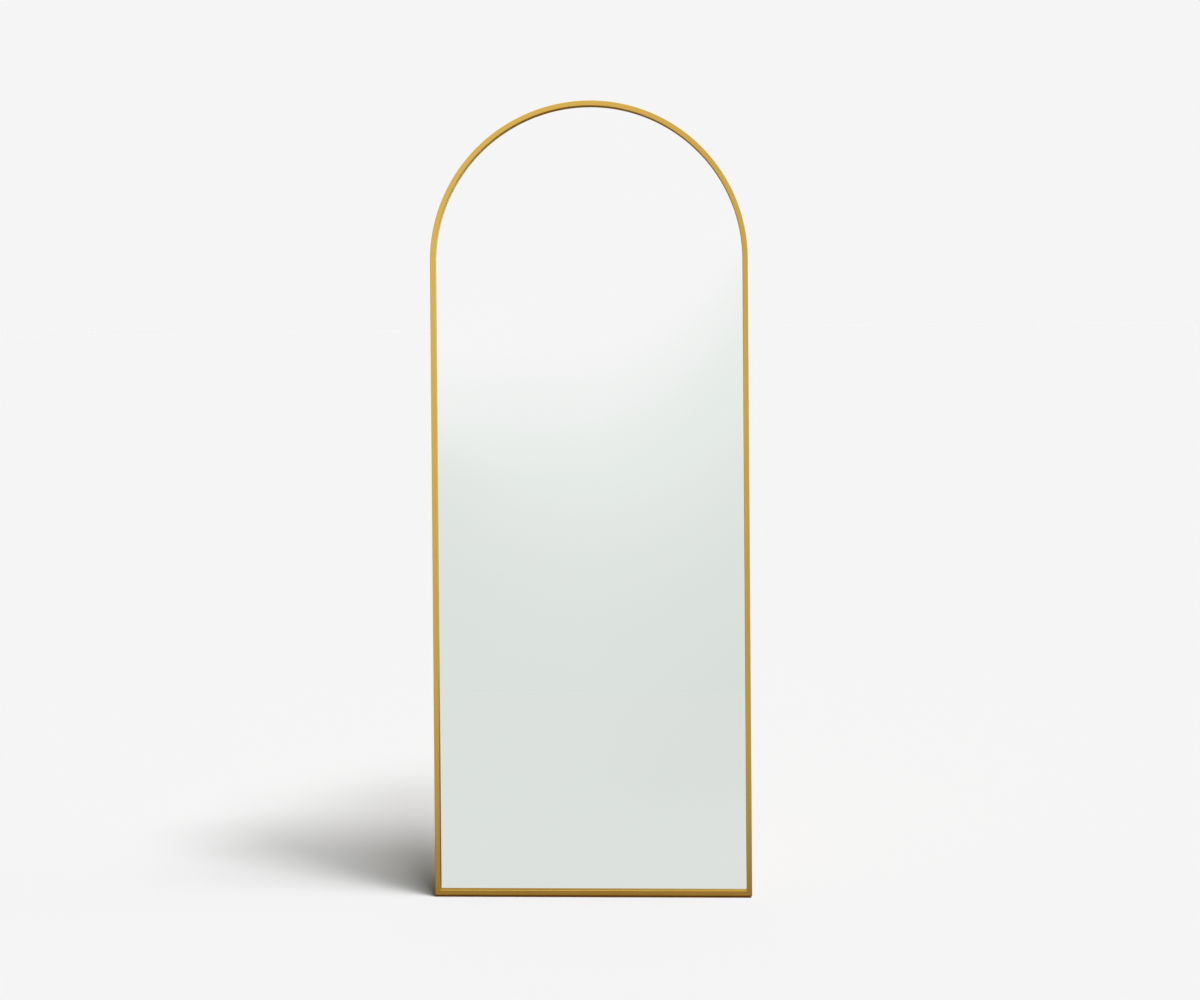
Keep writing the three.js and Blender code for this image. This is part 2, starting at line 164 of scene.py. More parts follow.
def newFinish(name, describe):
    # describe(sheet) gives the sockets of the surface shader: numbers, colours or wires
    made = bpy.data.materials.new(name)
    made.use_nodes = True
    sheet = NodeSheet(made.node_tree)
    shader = made.node_tree.nodes["Principled BSDF"]
    for socket, value in describe(sheet).items():
        if isinstance(value, Wire):
            made.node_tree.links.new(value.socket, shader.inputs[socket])
        else:
            shader.inputs[socket].default_value = value
    return made


# Finishes. Scales are in features per metre, and bumps in metres.
brass = {
    "shade": (0.545, 0.345, 0.066, 1),
    "light": (0.715, 0.487, 0.118, 1),
    "edge": (0.80, 0.61, 0.24, 1),
    "grazing": (1.0, 0.96, 0.60, 1),
    "finePitch": 1500.0,  # brush lines across the face
    "widePitch": 380.0,
    "cloudScale": 2.3,
    "fineAlong": 5.0,  # the same along the brushing, so low numbers make long lines
    "wideAlong": 0.9,
    "fineShare": 0.40,  # how far each pattern lightens the colour
    "wideShare": 1.1,
    "cloudShare": 0.35,
    "darkening": 0.425,
    "wear": (0.12, 0.40),  # of the rounded edges, at the least and at the most
    "roughness": (0.27, 0.40),
    "bump": 0.00006,
}


def describeBrass(sheet):
    along, around, edge = (sheet.attribute(name)["Fac"] for name in ("along", "around", "edge"))
    lines = sheet.joined(along * brass["fineAlong"], around * brass["finePitch"], 0.0)
    fine = sheet.noise(lines, 1.0, 3.0, 0.6)
    bands = sheet.noise(sheet.joined(along * brass["wideAlong"], around * brass["widePitch"], 3.0), 1.0, 2.0)
    clouds = sheet.noise(sheet.objectPlace(), brass["cloudScale"], 2.0)
    lightness = fine * brass["fineShare"] + bands * brass["wideShare"] + clouds * brass["cloudShare"]
    colour = sheet.mix((lightness - brass["darkening"]).clamped(), brass["shade"], brass["light"])
    worn = (edge * sheet.spread(clouds, 0.35, 0.65, *brass["wear"])).clamped()
    return {
        "Base Color": sheet.mix(worn, colour, brass["edge"]),
        "Specular Tint": brass["grazing"],
        "Metallic": 1.0,
        "Roughness": sheet.spread(fine + bands * 0.6, 0.5, 1.1, *brass["roughness"]),
        "Normal": sheet.bump(fine, 0.18, brass["bump"]),
    }


def mottled(sheet, pattern, tones):
    # the colour and the roughness follow one pattern
    return {
        "Base Color": sheet.mix(pattern, *tones["colours"]),
        "Roughness": sheet.spread(pattern, 0.3, 0.7, *tones["roughness"]),
    }


silvering = {
    "casts": ((0.787, 0.828, 0.797, 1), (0.793, 0.834, 0.804, 1)),
    "castScale": 1.7,
    "waveScale": 3.1,
    "bump": 0.0004,
}


def describeSilver(sheet):
    where = sheet.objectPlace()
    waves = sheet.noise(where, silvering["waveScale"], 1.0)
    cast = sheet.spread(sheet.noise(where, silvering["castScale"], 2.0), 0.3, 0.7)
    return {
        "Base Color": sheet.mix(cast, *silvering["casts"]),
        "Metallic": 1.0,
        "Roughness": 0.0,
        "Normal": sheet.bump(waves, 0.06, silvering["bump"]),
    }


groundEdge = {
    "colours": ((0.42, 0.60, 0.52, 1), (0.62, 0.76, 0.69, 1)),
    "roughness": (0.3, 0.5),
    "grainScale": 900.0,
    "refraction": 1.52,
}


def describeGlassEdge(sheet):
    grain = sheet.noise(sheet.objectPlace(), groundEdge["grainScale"], 2.0)
    return {**mottled(sheet, grain, groundEdge), "IOR": groundEdge["refraction"]}


backPaint = {
    "colours": ((0.22, 0.23, 0.24, 1), (0.30, 0.31, 0.32, 1)),
    "roughness": (0.45, 0.6),
    "mottleScale": 60.0,
}


def describeBackPaint(sheet):
    return mottled(sheet, sheet.noise(sheet.objectPlace(), backPaint["mottleScale"], 3.0), backPaint)


board = {
    "colours": ((0.265, 0.165, 0.085, 1), (0.385, 0.255, 0.145, 1)),
    "fleck": (0.13, 0.075, 0.04, 1),
    "fleckStrength": 0.5,
    "fibreShare": 0.78,
    "fibreScale": 700.0,
    "fleckScale": 1400.0,
    "cloudScale": 6.0,
    "roughness": (0.62, 0.8),
    "bump": 0.00015,
}


def describeFibreboard(sheet):
    where = sheet.objectPlace()
    fibres = sheet.noise(sheet.vector("ADD", where, (0.0, 0.0, 5.0)), board["fibreScale"], 4.0, 0.7, 1.5)
    grains = sheet.noise(where, board["fleckScale"], 2.0, 0.6)
    flecks = sheet.ramp(grains, [(0.0, 0.0), (0.62, 0.0), (0.72, 1.0)])
    clouds = sheet.noise(where, board["cloudScale"], 3.0)
    pattern = fibres * board["fibreShare"] + clouds * (1 - board["fibreShare"])
    colour = sheet.mix(sheet.spread(pattern, 0.36, 0.64), *board["colours"])
    return {
        "Base Color": sheet.mix(flecks * board["fleckStrength"], colour, board["fleck"]),
        "Roughness": sheet.spread(fibres, 0.3, 0.7, *board["roughness"]),
        "Normal": sheet.bump(fibres, 0.25, board["bump"]),
    }


pine = {
    "early": (0.66, 0.44, 0.225, 1),
    "late": (0.44, 0.245, 0.10, 1),
    "pore": (0.35, 0.20, 0.09, 1),
    "ringScale": 34.0,
    "wander": 2.6,  # how many rings the grain strays by
    "roughness": (0.5, 0.68),
    "bump": 0.00018,
}


def describePine(sheet):
    where = sheet.objectPlace()
    wander = sheet.noise(sheet.vector("MULTIPLY", where, (1.1, 1.0, 9.0)), 1.6, 2.0)
    across = sheet.axes(where)[2]
    rings = ((wander * pine["wander"] + across * pine["ringScale"]) * tau).maths("SINE")
    late = sheet.spread(rings, 0.1, 0.98)
    pores = sheet.noise(sheet.vector("MULTIPLY", where, (14.0, 420.0, 420.0)), 1.0, 4.0, 0.7)
    colour = sheet.mix(late * 0.75, pine["early"], pine["late"])
    return {
        "Base Color": sheet.mix(sheet.spread(pores, 0.42, 0.62, 0.0, 0.45), colour, pine["pore"]),
        "Roughness": sheet.spread(pores, 0.3, 0.7, *pine["roughness"]),
        "Normal": sheet.bump(pores + late * 0.3, 0.22, pine["bump"]),
    }


zinc = {
    "blues": ((0.44, 0.465, 0.50, 1), (0.60, 0.62, 0.64, 1)),
    "yellow": (0.60, 0.58, 0.51, 1),
    "yellowShare": 0.5,
    "mottleScale": 260.0,
    "castScale": 70.0,
    "roughness": (0.26, 0.42),
    "bump": 0.00005,
}


def describeZinc(sheet):
    where = sheet.objectPlace()
    mottle = sheet.noise(where, zinc["mottleScale"], 3.0, 0.6)
    cast = sheet.spread(sheet.noise(where, zinc["castScale"], 1.0), 0.35, 0.65)
    blue = sheet.mix(mottle, *zinc["blues"])
    return {
        "Base Color": sheet.mix(cast * zinc["yellowShare"], blue, zinc["yellow"]),
        "Metallic": 1.0,
        "Roughness": sheet.spread(mottle, 0.3, 0.7, *zinc["roughness"]),
        "Normal": sheet.bump(mottle, 0.12, zinc["bump"]),
    }


castings = {
    "colours": ((0.30, 0.31, 0.32, 1), (0.46, 0.47, 0.48, 1)),
    "roughness": (0.5, 0.68),
    "grainScale": 1100.0,
    "bump": 0.0001,
}


def describeCastZinc(sheet):
    grain = sheet.noise(sheet.objectPlace(), castings["grainScale"], 3.0, 0.7)
    bump = sheet.bump(grain, 0.4, castings["bump"])
    return {**mottled(sheet, grain, castings), "Metallic": 1.0, "Normal": bump}


moulded = {
    "colours": ((0.017, 0.017, 0.019, 1), (0.038, 0.037, 0.038, 1)),
    "roughness": (0.58, 0.76),
    "bloomScale": 90.0,
    "grainScale": 2600.0,
    "bump": 0.00008,
}


def describeRubber(sheet):
    where = sheet.objectPlace()
    bloom = sheet.noise(where, moulded["bloomScale"], 3.0)
    grain = sheet.noise(where, moulded["grainScale"], 2.0)
    return {
        "Base Color": sheet.mix(sheet.spread(bloom, 0.4, 0.7), *moulded["colours"]),
        "Roughness": sheet.spread(bloom, 0.3, 0.7, *moulded["roughness"]),
        "Normal": sheet.bump(grain, 0.3, moulded["bump"]),
    }


foam = {
    "colours": ((0.70, 0.70, 0.67, 1), (0.84, 0.84, 0.81, 1)),
    "roughness": 0.9,
    "cellScale": 1100.0,
    "bump": 0.0002,
}


def describeFoam(sheet):
    sockets = {"Vector": sheet.objectPlace(), "Scale": foam["cellScale"]}
    cells = sheet.node("ShaderNodeTexVoronoi", None, sockets)["Distance"]
    return {
        "Base Color": sheet.mix(cells, *foam["colours"]),
        "Roughness": foam["roughness"],
        "Normal": sheet.bump(cells, 0.4, foam["bump"]),
    }


finishes = {
    name: newFinish(name, describe)
    for name, describe in {
        "brushedBrass": describeBrass,
        "silveredGlass": describeSilver,
        "groundGlassEdge": describeGlassEdge,
        "mirrorBackPaint": describeBackPaint,
        "fibreboard": describeFibreboard,
        "planedPine": describePine,
        "zincPlate": describeZinc,
        "castZinc": describeCastZinc,
        "blackRubber": describeRubber,
        "paleFoam": describeFoam,
    }.items()
}
print("finishes:", len(finishes))


# Shapes are made in the mirror's own millimetres (across, depth, height), and stood up at its lean.
millimetre = 0.001
lean = radians(6)
ringAxis = {"across": 262.0, "depth": 42.6, "height": 1375.0}  # the hangers' hinge line
hinges = {joint["name"]: Vector(joint["pos_m"]) for joint in frame["joints"]}
tilt = Matrix.Rotation(-lean, 4, "X") @ Matrix.Scale(millimetre, 4)
leftHinge = Vector((-ringAxis["across"], ringAxis["depth"], ringAxis["height"]))
standUp = Matrix.Translation(hinges["left_ring_swing"] - tilt @ leftHinge) @ tilt


def newObject(name, data):
    made = bpy.data.objects.new(name, data)
    scene.collection.objects.link(made)
    return made


def fromBmesh(name, shape):
    mesh = bpy.data.meshes.new(name)
    shape.to_mesh(mesh)
    shape.free()
    return mesh


def evaluated(subject):
    bpy.context.view_layer.update()
    graph = bpy.context.evaluated_depsgraph_get()
    return bpy.data.meshes.new_from_object(subject.evaluated_get(graph))


def drop(*objects):
    for unwanted in objects:
        bpy.data.objects.remove(unwanted)


def lineObject(name, loops, closed):
    # a helper curve of straight steps, removed after use
    curve = bpy.data.curves.new(name, "CURVE")
    curve.dimensions = "3D"
    for points in loops:
        spline = curve.splines.new("POLY")
        spline.points.add(len(points) - 1)
        for target, point in zip(spline.points, points):
            target.co = (*point, 1)
        spline.use_cyclic_u = closed
    return newObject(name, curve)


def arc(radius, start, sweep, steps, middle=(0, 0)):
    angles = [start + sweep * k / steps for k in range(steps + 1)]
    return [(middle[0] + radius * cos(a), middle[1] + radius * sin(a)) for a in angles]


def rounded(corners, steps=4, support=0.08):
    # corners are (x, y, radius), and a radius of 0 stays sharp
    # a support point on each side keeps the flats flat
    points = []
    for i, (x, y, radius) in enumerate(corners):
        here = Vector((x, y))
        if radius == 0:
            points.append((x, y))
            continue
        before = (Vector(corners[i - 1][:2]) - here).normalized()
        after = (Vector(corners[(i + 1) % len(corners)][:2]) - here).normalized()
        opening = before.angle(after)
        centre = here + (before + after).normalized() * radius / sin(opening / 2)
        start = here + before * radius / tan(opening / 2) - centre
        end = here + after * radius / tan(opening / 2) - centre
        sweep = start.angle_signed(end)
        points.append(tuple(centre + start + before * support))
        for k in range(steps + 1):
            turn = Matrix.Rotation(-sweep * k / steps, 2)
            points.append(tuple(centre + turn @ start))
        points.append(tuple(centre + end + after * support))
    return points


def newTree(name, inputs):
    tree = bpy.data.node_groups.new(name, "GeometryNodeTree")
    tree.interface.new_socket("Geometry", in_out="INPUT", socket_type="NodeSocketGeometry")
    for label, kind in inputs.items():
        tree.interface.new_socket(label, in_out="INPUT", socket_type="NodeSocket" + kind)
    tree.interface.new_socket("Geometry", in_out="OUTPUT", socket_type="NodeSocketGeometry")
    sheet = NodeSheet(tree)
    return tree, sheet, sheet.node("NodeGroupInput")


def endTree(sheet, shape, finish):
    real = sheet.node("GeometryNodeRealizeInstances", None, {0: shape})[0]
    painted = sheet.node("GeometryNodeSetMaterial", None, {"Geometry": real, "Material": finish})[0]
    sheet.node("NodeGroupOutput", None, {0: painted})


def grow(name, tree, inputs, source=None):
    # puts the tree on an object, turns the result into a plain mesh and removes the modifier
    host = newObject(name + "Host", source or bpy.data.meshes.new(name))
    modifier = host.modifiers.new("shape", "NODES")
    modifier.node_group = tree
    for item in tree.interface.items_tree:
        if item.in_out == "INPUT" and item.name in inputs:
            modifier[item.identifier] = inputs[item.name]
    mesh = evaluated(host)
    host.modifiers.remove(modifier)
    drop(host)
    mesh.name = name
    return mesh


def keepValue(sheet, shape, name, value, kind="FLOAT"):
    settings = {"data_type": kind, "domain": "POINT"}
    sockets = {"Geometry": shape, "Name": name, "Value": value}
    return sheet.node("GeometryNodeStoreNamedAttribute", settings, sockets)[0]


def named(sheet, name, kind="FLOAT"):
    return sheet.node("GeometryNodeInputNamedAttribute", {"data_type": kind}, {"Name": name})[0]


def shapeOf(sheet, given):
    return sheet.node("GeometryNodeObjectInfo", None, {"Object": given})["Geometry"]


def lengthSoFar(sheet):
    # in metres, as the finishes want it
    return sheet.node("GeometryNodeSplineParameter")["Length"] * millimetre


def scaledBy(sheet, vector, factor):
    return sheet.node("ShaderNodeVectorMath", {"operation": "SCALE"}, {0: vector, "Scale": factor})[0]


def sweepTree():
    # a section carried along a line, with both ends cut to a mitre
    tree, sheet, given = newTree("mitredSweep", {
        "Line": "Object", "Section": "Object", "Mitre Gap": "Float", "Finish": "Material",
    })
    line, section = shapeOf(sheet, given["Line"]), shapeOf(sheet, given["Section"])
    line = sheet.node("GeometryNodeSetCurveNormal", {"mode": "FREE"}, {"Curve": line, "Normal": (0, 1, 0)})[0]
    line = keepValue(sheet, line, "along", lengthSoFar(sheet))
    first, last = (
        sheet.node("GeometryNodeCurveEndpointSelection", None, {"Start Size": size, "End Size": 1 - size})[0]
        for size in (1, 0)
    )
    trim = scaledBy(sheet, sheet.node("GeometryNodeInputTangent")[0], first - last)
    line = keepValue(sheet, line, "trim", trim, "FLOAT_VECTOR")
    section = keepValue(sheet, section, "around", lengthSoFar(sheet))
    outward = sheet.axes(sheet.node("GeometryNodeInputPosition")[0])[1]
    section = keepValue(sheet, section, "inward", 0.0 - outward)
    swept = sheet.node("GeometryNodeCurveToMesh", None, {"Curve": line, "Profile Curve": section})[0]
    reach = named(sheet, "inward") + given["Mitre Gap"]
    offset = scaledBy(sheet, named(sheet, "trim", "FLOAT_VECTOR"), reach)
    cut = sheet.node("GeometryNodeSetPosition", None, {"Geometry": swept, "Offset": offset})[0]
    cut = sheet.node("GeometryNodeRemoveAttribute", None, {"Geometry": cut, "Name": "trim"})[0]
    endTree(sheet, cut, given["Finish"])
    return tree


def copiesTree():
    # one piece set at every point of a mesh, turned as its "turn" says
    # the spin is a further turn at random about the piece's own depth axis
    tree, sheet, given = newTree("setCopies", {"Piece": "Object", "Spin": "Float", "Finish": "Material"})
    points = sheet.node("GeometryNodeMeshToPoints", None, {"Mesh": given["Geometry"]})[0]
    turn = sheet.node("FunctionNodeEulerToRotation", None, {0: named(sheet, "turn", "FLOAT_VECTOR")})[0]
    limits = {2: 0.0, 3: given["Spin"], "Seed": 4}
    spin = sheet.node("FunctionNodeRandomValue", {"data_type": "FLOAT"}, limits)[1]
    about = sheet.node("FunctionNodeEulerToRotation", None, {0: sheet.joined(0.0, spin, 0.0)})[0]
    rotation = sheet.node("FunctionNodeRotateRotation", {"rotation_space": "LOCAL"}, {0: turn, 1: about})[0]
    sockets = {"Points": points, "Instance": shapeOf(sheet, given["Piece"]), "Rotation": rotation}
    endTree(sheet, sheet.node("GeometryNodeInstanceOnPoints", None, sockets)[0], given["Finish"])
    return tree


def wireTree():
    # a round wire bent along a line, with its two cut ends closed
    tree, sheet, given = newTree("bentWire", {
        "Line": "Object", "Radius": "Float", "Sides": "Int", "Finish": "Material",
    })
    sockets = {"Resolution": given["Sides"], "Radius": given["Radius"]}
    circle = sheet.node("GeometryNodeCurvePrimitiveCircle", {"mode": "RADIUS"}, sockets)[0]
    sockets = {"Curve": shapeOf(sheet, given["Line"]), "Profile Curve": circle, "Fill Caps": True}
    endTree(sheet, sheet.node("GeometryNodeCurveToMesh", None, sockets)[0], given["Finish"])
    return tree


mitredSweep, setCopies, bentWire = sweepTree(), copiesTree(), wireTree()


def turned(name, points, sides, middle=(0, 0)):
    # (radius, depth) points spun about a line that runs backwards through the middle
    # both ends close on that line
    shape = bmesh.new()
    x, z = middle
    rings = []
    for radius, depth in points:
        turns = [2 * pi * k / sides for k in range(sides if radius else 1)]
        ring = [(x + radius * cos(a), depth, z + radius * sin(a)) for a in turns]
        rings.append([shape.verts.new(place) for place in ring])
    for first, second in zip(rings, rings[1:]):
        for k in range(sides):
            corners = [first[(k - 1) % len(first)], first[k % len(first)],
                       second[k % len(second)], second[(k - 1) % len(second)]]
            shape.faces.new(list(dict.fromkeys(corners)))
    bmesh.ops.recalc_face_normals(shape, faces=shape.faces)
    return newObject(name, fromBmesh(name, shape))


def plug(radius, front, back, middle=(0, 0), sides=28):
    return turned("plug", [(0, front), (radius, front), (radius, back), (0, back)], sides, middle)


def straight(name, ends, places):
    # joins two outlines of as many points each; places(point, end) gives where a point stands
    shape = bmesh.new()
    first, second = [
        [shape.verts.new(places(point, end)) for point in points] for end, points in enumerate(ends)
    ]
    shape.faces.new(first)
    shape.faces.new(second)
    for k in range(len(first)):
        shape.faces.new((first[k - 1], first[k], second[k], second[k - 1]))
    bmesh.ops.recalc_face_normals(shape, faces=shape.faces)
    return newObject(name, fromBmesh(name, shape))


def backwards(name, points, front, back):
    return straight(name, (points, points), lambda point, end: (point[0], (front, back)[end], point[1]))


def sideways(name, points, width):
    return straight(name, (points, points), lambda point, end: ((end - 0.5) * width, *point))


def carve(blank, cutters=(), common=None, edge=0.0, steps=2, leastAngle=40.0):
    # cuts the holes, keeps what lies in the common shape and breaks the sharp edges
    for cutter in cutters:
        cut = blank.modifiers.new("cut", "BOOLEAN")
        cut.operation, cut.solver, cut.object = "DIFFERENCE", "EXACT", cutter
    if common:
        trim = blank.modifiers.new("trim", "BOOLEAN")
        trim.operation, trim.solver, trim.object = "INTERSECT", "EXACT", common
    if edge:
        soften = blank.modifiers.new("soften", "BEVEL")
        soften.width, soften.segments, soften.limit_method = edge, steps, "ANGLE"
        soften.angle_limit = radians(leastAngle)
    made = evaluated(blank)
    name = blank.name
    drop(blank, *cutters, *([common] if common else []))
    return newObject(name, made)


def scatter(name, piece, places, finish, spin=0.0):
    # places are (x, depth, z, turn about the depth axis)
    points = bpy.data.meshes.new(name + "Places")
    points.from_pydata([place[:3] for place in places], [], [])
    turn = points.attributes.new("turn", "FLOAT_VECTOR", "POINT")
    for i, place in enumerate(places):
        turn.data[i].vector = (0, place[3], 0)
    mesh = grow(name, setCopies, {"Piece": piece, "Spin": spin, "Finish": finishes[finish]}, points)
    drop(piece)
    return mesh


def bothSides(across, depth=0.0, height=0.0):
    return [(side * across, depth, height, 0.0) for side in (-1, 1)]


def settle(name, mesh, replaced, smoothAngle=35.0, body="mirror", place=None):
    # a finished piece: stood up, shaded, riding on its body and standing for its CAD nodes
    mesh.transform(place or standUp)
    mesh.shade_smooth()
    mesh.set_sharp_from_angle(angle=radians(smoothAngle))
    piece = newObject(name, mesh)
    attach(piece, body)
    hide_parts(*replaced)


# The frame is a brushed brass profile, bent over the arch, and a mitred rail below.
profile = {
    "face": 12.7,
    "depth": 30.0,
    "barDepth": 11.0,
    "outerWall": 1.8,
    "barWall": 1.5,
    "lipReach": 5.0,
    "lipThickness": 1.7,
    "frontRounding": 1.4,
    "rearRounding": 0.35,
    "fineRounding": 0.2,
    "hollowRounding": 0.4,
    "width": 762.0,
    "height": 1905.0,
    "archSteps": 180,
    "mitreGap": 0.15 * sqrt(2),
    "accessRadius": 2.5,
    "accessAt": 31.0,
}


def sectionLoops():
    # (depth, outward) points: the bar and its walls, then the hollow of the bar
    face, depth, bar, wall = profile["face"], profile["depth"], profile["barDepth"], profile["outerWall"]
    lip, inner, front = profile["lipReach"], profile["barWall"], profile["frontRounding"]
    rear, fine, bend = profile["rearRounding"], profile["fineRounding"], profile["hollowRounding"]
    lipFront = depth - profile["lipThickness"]
    outside = [
        (bar, -wall, 0), (bar, -face, fine), (0, -face, front), (0, 0, front),
        (depth, 0, rear), (depth, -lip, rear), (lipFront, -lip, fine), (lipFront, -wall, 0),
    ]
    hollow = [
        (inner, -inner, bend), (inner, inner - face, bend),
        (bar - inner, inner - face, bend), (bar - inner, -inner, bend),
    ]
    return [[(x, y, 0) for x, y in rounded(loop)] for loop in (outside, hollow)]


def closeEnds(mesh):
    # joins the outside and the hollow across each mitre cut
    shape = bmesh.new()
    shape.from_mesh(mesh)
    openEdges = [edge for edge in shape.edges if edge.is_boundary]
    middle = sum(edge.verts[0].co.x for edge in openEdges) / len(openEdges)
    for side in (-1, 1):
        ring = [edge for edge in openEdges if (edge.verts[0].co.x - middle) * side > 0]
        bmesh.ops.bridge_loops(shape, edges=ring)
    bmesh.ops.triangulate(shape, faces=[f for f in shape.faces if len(f.verts) > 4])
    bmesh.ops.recalc_face_normals(shape, faces=shape.faces)
    shape.to_mesh(mesh)
    shape.free()


def edgeWear(mesh):
    # 1 on the rounded front edges and 0 elsewhere, for the finish to pick out
    worn = mesh.attributes.new("edge", "FLOAT", "POINT")
    inward = mesh.attributes["inward"].data
    reach = profile["frontRounding"]
    for i, vertex in enumerate(mesh.vertices):
        near = min(abs(inward[i].value), abs(profile["face"] - inward[i].value))
        worn.data[i].value = max(0.0, 1.0 - near / reach) if vertex.co.y < reach else 0.0


def frameLines():
    half = profile["width"] / 2
    arch = arc(half, pi, -pi, profile["archSteps"], (0, profile["height"] - half))
    left, right = (-half, 0, 0), (half, 0, 0)
    return [left, *((x, 0, z) for x, z in arch), right], [right, left]


def accessHoles(upright):
    # where the keys' set screws are reached, through the rear wall of the bar
    half, far, near = profile["width"] / 2, profile["accessAt"], profile["face"] / 2
    return [(side * (half - near), far) if upright else (side * (half - far), near) for side in (-1, 1)]


def buildFrame():
    section = lineObject("profileSection", sectionLoops(), True)
    for name, node, points in zip(("archFrame", "bottomRail"), ("arch_frame", "bottom_rail"), frameLines()):
        line = lineObject(name + "Line", [points], False)
        mesh = grow(name, mitredSweep, {
            "Line": line,
            "Section": section,
            "Mitre Gap": profile["mitreGap"],
            "Finish": finishes["brushedBrass"],
        })
        drop(line)
        closeEnds(mesh)
        edgeWear(mesh)
        bored = carve(newObject(name + "Blank", mesh), [
            plug(profile["accessRadius"], profile["barDepth"] - 3, profile["barDepth"] + 1, middle)
            for middle in accessHoles(node == "arch_frame")
        ])
        settle(name, bored.data.copy(), [node], 40.0)
        drop(bored)
    drop(section)


buildFrame()
print("frame: profile swept and mitred")


glass = {
    "inset": 6.3,
    "front": 11.3,
    "thickness": 5.0,
    "bevel": 0.8,
    "archSteps": 180,
}


def archedOutline(inset, steps):
    half = profile["width"] / 2 - inset
    arch = arc(half, 0, pi, steps, (0, profile["height"] - profile["width"] / 2))
    return [(-half, inset), (half, inset), *arch]


def buildGlass():
    shape = bmesh.new()
    outline = archedOutline(glass["inset"], glass["archSteps"])
    front = shape.faces.new([shape.verts.new((x, glass["front"], z)) for x, z in outline])
    back = bmesh.ops.extrude_face_region(shape, geom=[front])
    rear = next(item for item in back["geom"] if isinstance(item, bmesh.types.BMFace))
    bmesh.ops.translate(shape, verts=rear.verts, vec=(0, glass["thickness"], 0))
    rim = [edge for edge in shape.edges if any(face in (front, rear) for face in edge.link_faces)]
    bmesh.ops.bevel(shape, geom=rim, offset=glass["bevel"], segments=3, profile=0.5, affect="EDGES")
    bmesh.ops.recalc_face_normals(shape, faces=shape.faces)
    middle = glass["front"] + glass["thickness"] / 2
    for face in shape.faces:
        flat = abs(face.normal.y) > 0.999
        face.material_index = 1 if not flat else 0 if face.calc_center_median().y < middle else 2
    mesh = fromBmesh("mirrorGlass", shape)
    for finish in ("silveredGlass", "groundGlassEdge", "mirrorBackPaint"):
        mesh.materials.append(finishes[finish])
    settle("mirrorGlass", mesh, ["mirror_glass"], 10.0)


buildGlass()
print("glass: ground and silvered")


clip = {
    "front": 26.2,
    "thickness": 1.8,
    "length": 32.0,
    "width": 18.0,
    "tongue": 13.0,
    "shoulder": (8.0, 11.0),
    "shoulderRounding": 1.2,
    "tipRounding": 0.9,
    "brokenEdge": 0.28,
    "screwAt": 22.0,
    "holeRadius": 2.2,
    "endInset": 2.4,
    "bottomX": 190.0,
    "sideHeights": (210.0, 680.0, 1150.0),
    "archDegrees": (12, 54, 126, 168),
}


def clipPlaces(fromEnd):
    # points this far in from the outer ends of the clips, with each clip's turn
    half = profile["width"] / 2
    spring = profile["height"] - half
    ends = [(side * clip["bottomX"], 0.0, 0, -1) for side in (-1, 1)]
    ends += [(side * half, height, side, 0) for height in clip["sideHeights"] for side in (-1, 1)]
    for angle in clip["archDegrees"]:
        x, z = cos(radians(angle)), sin(radians(angle))
        ends.append((half * x, spring + half * z, x, z))
    inset = clip["endInset"] + fromEnd
    return [(x - inset * outX, z - inset * outZ, atan2(outX, outZ)) for x, z, outX, outZ in ends]


def clipBlank():
    half, tongue = clip["width"] / 2, clip["tongue"] / 2
    upper, lower = clip["shoulder"]
    tail = [(x, z, 0) for x, z in arc(half, pi, pi, 20, (0, half - clip["length"]))]
    bend = clip["shoulderRounding"]
    right = [(half, -lower, bend), (tongue, -upper, bend), (tongue, 0, clip["tipRounding"])]
    left = [(-x, z, radius) for x, z, radius in reversed(right)]
    outline = rounded(left + tail + right, 3, 0.05)
    flat = backwards("clip", outline, clip["front"], clip["front"] + clip["thickness"])
    hole = plug(clip["holeRadius"], clip["front"] - 1, clip["front"] + 3, (0, -clip["screwAt"]))
    return carve(flat, [hole], edge=clip["brokenEdge"])


screws = {
    "headHeight": 2.2,
    "pitch": 1.3,
    "root": 0.76,
    "sides": 24,
    "crossTop": (0.58, 0.15),  # half length and half width of each slot, as shares of the head's radius
    "crossDepth": 1.45,
    "crossTaper": (1.15, 0.5),  # of both, above the head and at the bottom
    # the head's dome, as shares of its radius and height
    "dome": ((1.0, 0.34), (0.97, 0.52), (0.90, 0.70), (0.78, 0.84), (0.60, 0.93), (0.34, 0.985), (0.0, 1.0)),
    "anyTurn": 6.283,  # each head stops at an angle of its own
}


def panScrew(length, radius, headRadius):
    # the head's underside is at depth 0 and the tip points to the front
    points = [(0, -length)]
    for k in range(int((length - 2 * radius - 0.8) / screws["pitch"])):
        depth = -length + 2 * radius + k * screws["pitch"]
        points += [(radius * screws["root"], depth), (radius, depth + screws["pitch"] / 2)]
    points += [(radius * screws["root"], -0.6), (radius * 0.9, 0), (headRadius * 0.97, 0), (headRadius, 0.12)]
    top = screws["headHeight"]
    points += [(headRadius * across, top * up) for across, up in screws["dome"]]
    blank = turned("screw", points, screws["sides"])
    slots = []
    for quarter in (False, True):
        outlines = []
        for share in screws["crossTaper"]:
            long, wide = (headRadius * part * share for part in screws["crossTop"])
            if quarter:
                long, wide = wide, long
            outlines.append([(-long, -wide), (long, -wide), (long, wide), (-long, wide)])
        depths = (top + 0.4, top - screws["crossDepth"])
        slots.append(straight("slot", outlines, lambda point, end: (point[0], depths[end], point[1])))
    return carve(blank, slots)


fastenings = {
    "clipScrews": {"length": 7.7, "radius": 1.75, "head": 3.5, "depth": 28.3},
    "battenScrews": {"length": 17.0, "radius": 1.75, "head": 3.5, "depth": 38.5},
    "hangerScrews": {"length": 14.0, "radius": 2.0, "head": 3.8, "depth": 41.8},
}
battenScrewRows, battenScrewColumns = (1400.0, 430.0), (-210.0, 0.0, 210.0)
hangerHoles = (14.0, 43.0)  # above the hinge line


